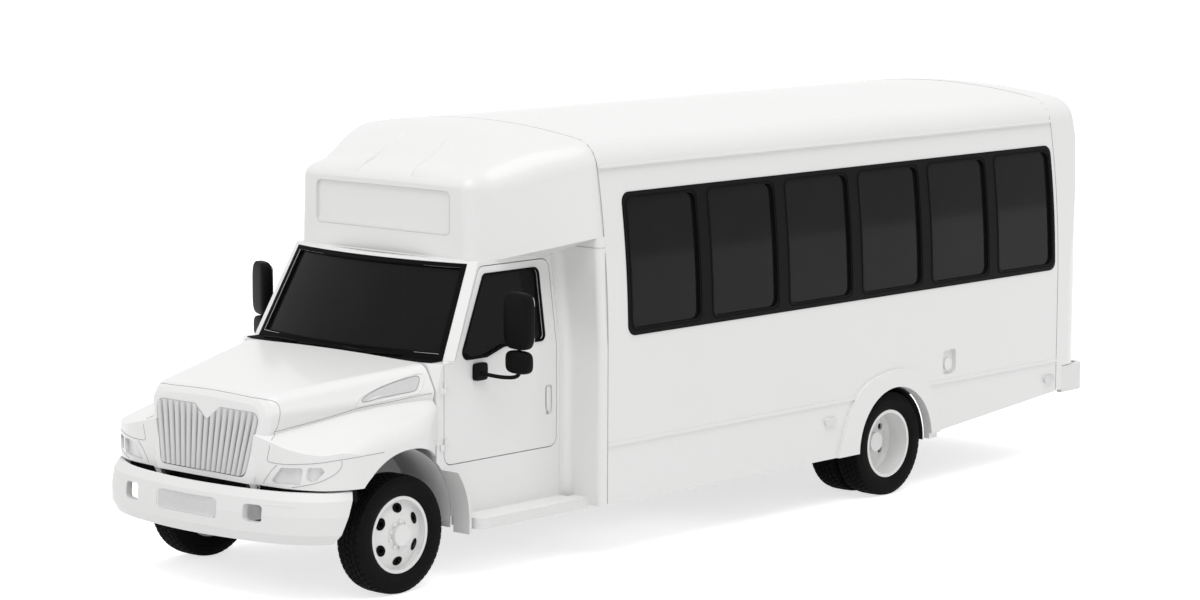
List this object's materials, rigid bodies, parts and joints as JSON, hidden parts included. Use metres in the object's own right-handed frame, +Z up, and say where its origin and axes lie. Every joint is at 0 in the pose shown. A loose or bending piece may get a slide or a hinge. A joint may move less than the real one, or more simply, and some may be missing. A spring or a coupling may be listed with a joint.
{
  "type": "minibus",
  "caption": "Full-size cutaway minibus: long-nosed cab with tilting hood, wide coach body with window band, entry leaves, rear door, steered front wheels and twin rear wheels.",
  "frame": {"origin": "on the ground, at the middle of the overall length and width", "axes": "+Z up, -Y the way the bus drives, +X its left (driver's) side"},
  "size_m": [2.75, 8.59, 2.9923],
  "materials": {
    "white_body": "plain white, satin",
    "white_plastic": "plain white plastic",
    "black_trim": "black rubber and plastic trim",
    "dark_glass": "very dark tinted glass",
    "lamp_glass": "clear grey lens",
    "frame_steel": "black chassis paint",
    "bare_steel": "machined steel",
    "engine_iron": "bare cast iron",
    "tank_metal": "plain sheet",
    "tyre": "black tyre rubber",
    "seat_cloth": "dark grey woven cloth",
    "floor_mat": "grey rubber floor covering"
  },
  "bodies": {
    "body": {"chassis_frame": "frame_steel", "front_axle": "frame_steel", "rear_axle": "frame_steel", "leaf_springs": "frame_steel", "engine_and_gearbox": "engine_iron", "fuel_tank": "tank_metal", "front_bumper": "white_plastic", "rear_bumper": "white_plastic", "cab_shell": "white_body", "windshield": "dark_glass", "dash": "black_trim", "steering_wheel": "black_trim", "driver_seat": "seat_cloth", "running_boards": "white_plastic", "splash_guards": "white_plastic", "floor": "floor_mat", "entry_steps": "floor_mat", "left_wall": "white_body", "right_wall": "white_body", "roof": "white_body", "front_cap": "white_body", "corner_panels": "white_body", "rear_cap": "white_body", "left_window_frames": "black_trim", "right_window_frames": "black_trim", "left_windows": "dark_glass", "right_windows": "dark_glass", "left_seats": "seat_cloth", "right_seats": "seat_cloth", "wipers": "black_trim", "lamps": "lamp_glass"},
    "hood": {"hood": "white_body", "grille": "white_plastic", "headlamps": "lamp_glass"},
    "left_cab_door": {"left_door": "white_body", "left_door_glass": "dark_glass", "left_mirror": "black_trim"},
    "right_cab_door": {"right_door": "white_body", "right_door_glass": "dark_glass", "right_mirror": "black_trim"},
    "entry_leaf_front": {"entry_leaf_front": "white_body", "entry_glass_front": "dark_glass"},
    "entry_leaf_rear": {"entry_leaf_rear": "white_body", "entry_glass_rear": "dark_glass"},
    "rear_door": {"rear_door": "white_body", "rear_door_glass": "dark_glass"},
    "left_knuckle": {"left_knuckle": "bare_steel"},
    "right_knuckle": {"right_knuckle": "bare_steel"},
    "left_front_wheel": {"left_front_rim": "white_body", "left_front_tyre": "tyre"},
    "right_front_wheel": {"right_front_rim": "white_body", "right_front_tyre": "tyre"},
    "left_rear_wheels": {"left_rear_rims": "white_body", "left_rear_tyres": "tyre"},
    "right_rear_wheels": {"right_rear_rims": "white_body", "right_rear_tyres": "tyre"}
  },
  "joints": [
    {"name": "hood_tilt", "type": "hinge", "parent": "body", "child": "hood", "pos_m": [0, -4.09, 0.754], "axis": [1, 0, 0], "range_deg": [0, 55]},
    {"name": "left_door_hinge", "type": "hinge", "parent": "body", "child": "left_cab_door", "pos_m": [0.983, -2.852, 1.1], "axis": [0, 0, -1], "range_deg": [0, 70]},
    {"name": "right_door_hinge", "type": "hinge", "parent": "body", "child": "right_cab_door", "pos_m": [-0.983, -2.852, 1.1], "axis": [0, 0, 1], "range_deg": [0, 70]},
    {"name": "entry_front_hinge", "type": "hinge", "parent": "body", "child": "entry_leaf_front", "pos_m": [-1.308, -1.377, 1.4], "axis": [0, 0, 1], "range_deg": [0, 90]},
    {"name": "entry_rear_hinge", "type": "hinge", "parent": "body", "child": "entry_leaf_rear", "pos_m": [-1.308, -0.563, 1.4], "axis": [0, 0, -1], "range_deg": [0, 90]},
    {"name": "rear_door_hinge", "type": "hinge", "parent": "body", "child": "rear_door", "pos_m": [0.427, 4.258, 1.7], "axis": [0, 0, -1], "range_deg": [0, 100]},
    {"name": "left_steer", "type": "hinge", "parent": "body", "child": "left_knuckle", "pos_m": [0.735, -3.31, 0.399], "axis": [0, 0, 1], "range_deg": [-35, 35]},
    {"name": "right_steer", "type": "hinge", "parent": "body", "child": "right_knuckle", "pos_m": [-0.735, -3.31, 0.399], "axis": [0, 0, 1], "range_deg": [-35, 35]},
    {"name": "left_front_spin", "type": "hinge", "parent": "left_knuckle", "child": "left_front_wheel", "pos_m": [0.915, -3.31, 0.399], "axis": [1, 0, 0], "continuous": true},
    {"name": "right_front_spin", "type": "hinge", "parent": "right_knuckle", "child": "right_front_wheel", "pos_m": [-0.915, -3.31, 0.399], "axis": [1, 0, 0], "continuous": true},
    {"name": "left_rear_spin", "type": "hinge", "parent": "body", "child": "left_rear_wheels", "pos_m": [1.018, 1.7, 0.399], "axis": [1, 0, 0], "continuous": true},
    {"name": "right_rear_spin", "type": "hinge", "parent": "body", "child": "right_rear_wheels", "pos_m": [-1.018, 1.7, 0.399], "axis": [1, 0, 0], "continuous": true}
  ],
  "couplings": [
    {"joint": "right_steer", "follows": "left_steer", "ratio": 1}
  ]
}
